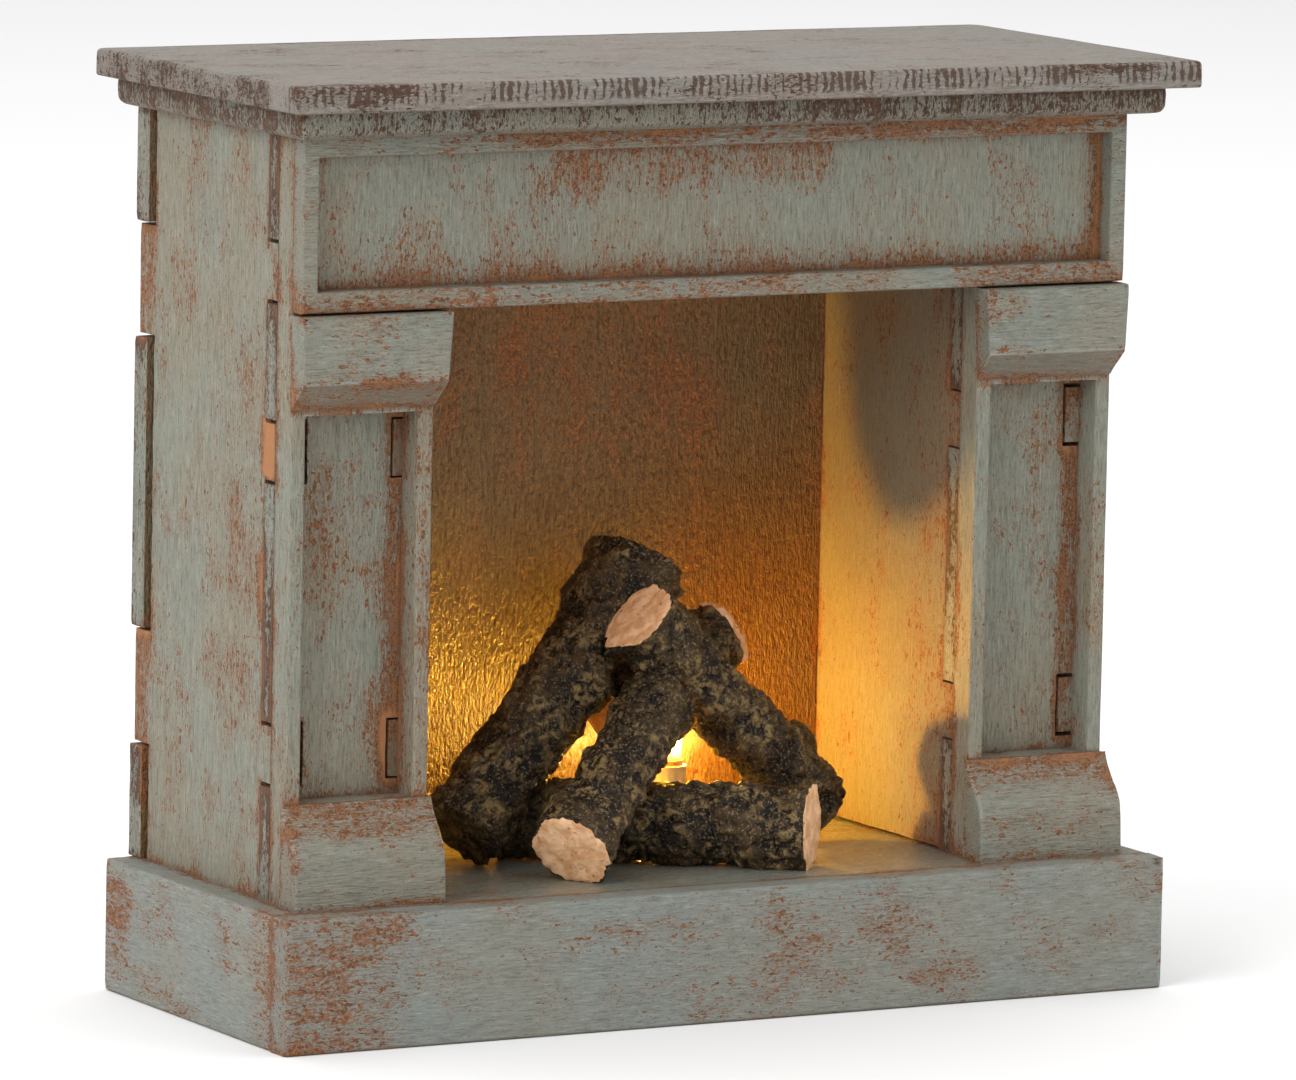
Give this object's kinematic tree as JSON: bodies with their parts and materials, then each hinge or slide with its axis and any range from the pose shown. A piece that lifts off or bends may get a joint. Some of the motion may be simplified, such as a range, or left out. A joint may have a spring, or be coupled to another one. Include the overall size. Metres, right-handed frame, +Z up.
{
  "type": "miniature fireplace mantel",
  "caption": "Dolls' fireplace in finger-jointed wood with distressed grey-green paint, a pile of small logs and a hidden warm LED that lights the firebox.",
  "frame": {"origin": "centre of the bounding box in plan, on the underside that stands on the table", "axes": "+X along the mantel towards the right as seen from the front, +Y from the opening towards the back, +Z up"},
  "size_m": [0.1886, 0.0826, 0.175],
  "materials": {
    "green_painted_wood": "matt grey-green paint, brushed and rubbed through to orange-brown wood at the edges",
    "taupe_painted_wood": "matt taupe-grey paint, brushed and worn dark at the edges",
    "bare_wood": "unfinished plywood",
    "bark": "rough charred bark with pale cut ends",
    "black_plastic": "fine texture",
    "white_plastic": "plain moulded",
    "cell_jacket": "printed sleeve with a plain band",
    "plated_contact": "nickel plate",
    "steel": "zinc plate",
    "led_lens": "warm clear epoxy",
    "red_lead": "soft insulation",
    "black_lead": "soft insulation"
  },
  "bodies": {
    "fireplace": {"back_panel": "green_painted_wood", "base_screws": "steel", "battery_1": "cell_jacket", "battery_2": "cell_jacket", "battery_box": "black_plastic", "corner_blocks": "bare_wood", "cornice_board": "taupe_painted_wood", "firebox_ceiling": "bare_wood", "firebox_wall_left": "green_painted_wood", "firebox_wall_right": "green_painted_wood", "frieze_frame": "green_painted_wood", "front_contacts": "plated_contact", "front_panel": "green_painted_wood", "hearth_board": "green_painted_wood", "led": "led_lens", "led_holder": "white_plastic", "log_floor": "bark", "log_front": "bark", "log_left": "bark", "log_rear": "bark", "log_right": "bark", "mantel_shelf": "taupe_painted_wood", "pillar_base_left": "green_painted_wood", "pillar_base_right": "green_painted_wood", "pillar_cap_left": "green_painted_wood", "pillar_cap_right": "green_painted_wood", "plinth_back": "green_painted_wood", "plinth_bottom": "bare_wood", "plinth_front": "green_painted_wood", "plinth_side_left": "green_painted_wood", "plinth_side_right": "green_painted_wood", "portal_board": "green_painted_wood", "side_panel_left": "green_painted_wood", "side_panel_right": "green_painted_wood", "spring_front": "plated_contact", "switch_body": "black_plastic", "switch_frame": "steel", "switch_plate": "black_plastic", "switch_screws": "steel", "switch_terminals": "plated_contact", "wire_negative": "black_lead", "wire_positive": "red_lead", "wire_switched": "red_lead"},
    "cover": {"battery_cover": "black_plastic", "bridge_contact": "plated_contact", "spring_rear": "plated_contact"},
    "cover_screw": {"cover_screw": "steel"},
    "switch_knob": {"switch_knob": "black_plastic"}
  },
  "joints": [
    {"name": "switch_slide", "type": "slide", "parent": "fireplace", "child": "switch_knob", "axis": [1, 0, 0], "range_m": [0, 0.003]},
    {"name": "cover_slide", "type": "slide", "parent": "fireplace", "child": "cover", "axis": [0, 1, 0], "range_m": [0, 0.025]},
    {"name": "cover_screw_turn", "type": "hinge", "parent": "cover", "child": "cover_screw", "pos_m": [-0.0144, 0.0364, 0.0115], "axis": [0, 1, 0], "continuous": true}
  ]
}
